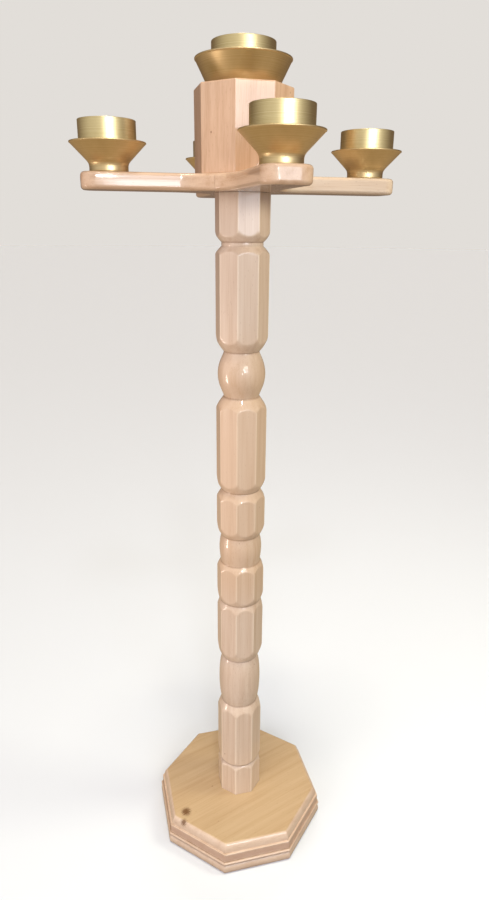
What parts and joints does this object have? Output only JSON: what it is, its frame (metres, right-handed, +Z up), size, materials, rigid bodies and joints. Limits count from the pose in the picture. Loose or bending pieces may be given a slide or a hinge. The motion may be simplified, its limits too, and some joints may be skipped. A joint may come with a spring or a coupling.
{
  "type": "floor candle stand",
  "caption": "Lacquered wooden floor candle stand: moulded octagonal base, turned octagonal column and a cross of flat arms with brass drip dishes and candle sockets.",
  "frame": {"origin": "on the floor, under the column's axis", "axes": "+Z up along the column; the front arm points along -Y and the right arm along +X"},
  "size_m": [0.428, 0.428, 1.2],
  "materials": {
    "lacquered_wood": "clear gloss lacquer on pale beech or birch",
    "turned_brass": "lathe-turned satin",
    "zinc_steel": "zinc plated"
  },
  "bodies": {
    "root": {"base_lower_board": "lacquered_wood", "base_upper_board": "lacquered_wood", "column": "lacquered_wood", "head_block": "lacquered_wood", "arm_front": "lacquered_wood", "arm_right": "lacquered_wood", "arm_back": "lacquered_wood", "arm_left": "lacquered_wood", "arm_dowel_front": "lacquered_wood", "arm_dowel_right": "lacquered_wood", "arm_dowel_back": "lacquered_wood", "arm_dowel_left": "lacquered_wood", "drip_dish_front": "turned_brass", "drip_dish_right": "turned_brass", "drip_dish_back": "turned_brass", "drip_dish_left": "turned_brass", "drip_dish_top": "turned_brass", "candle_socket_front": "turned_brass", "candle_socket_right": "turned_brass", "candle_socket_back": "turned_brass", "candle_socket_left": "turned_brass", "candle_socket_top": "turned_brass", "base_screw_1": "zinc_steel", "base_screw_2": "zinc_steel", "base_screw_3": "zinc_steel", "base_screw_4": "zinc_steel", "base_bolt": "zinc_steel", "base_washer": "zinc_steel", "cup_screw_front": "zinc_steel", "cup_screw_right": "zinc_steel", "cup_screw_back": "zinc_steel", "cup_screw_left": "zinc_steel", "cup_screw_top": "zinc_steel"}
  },
  "joints": []
}
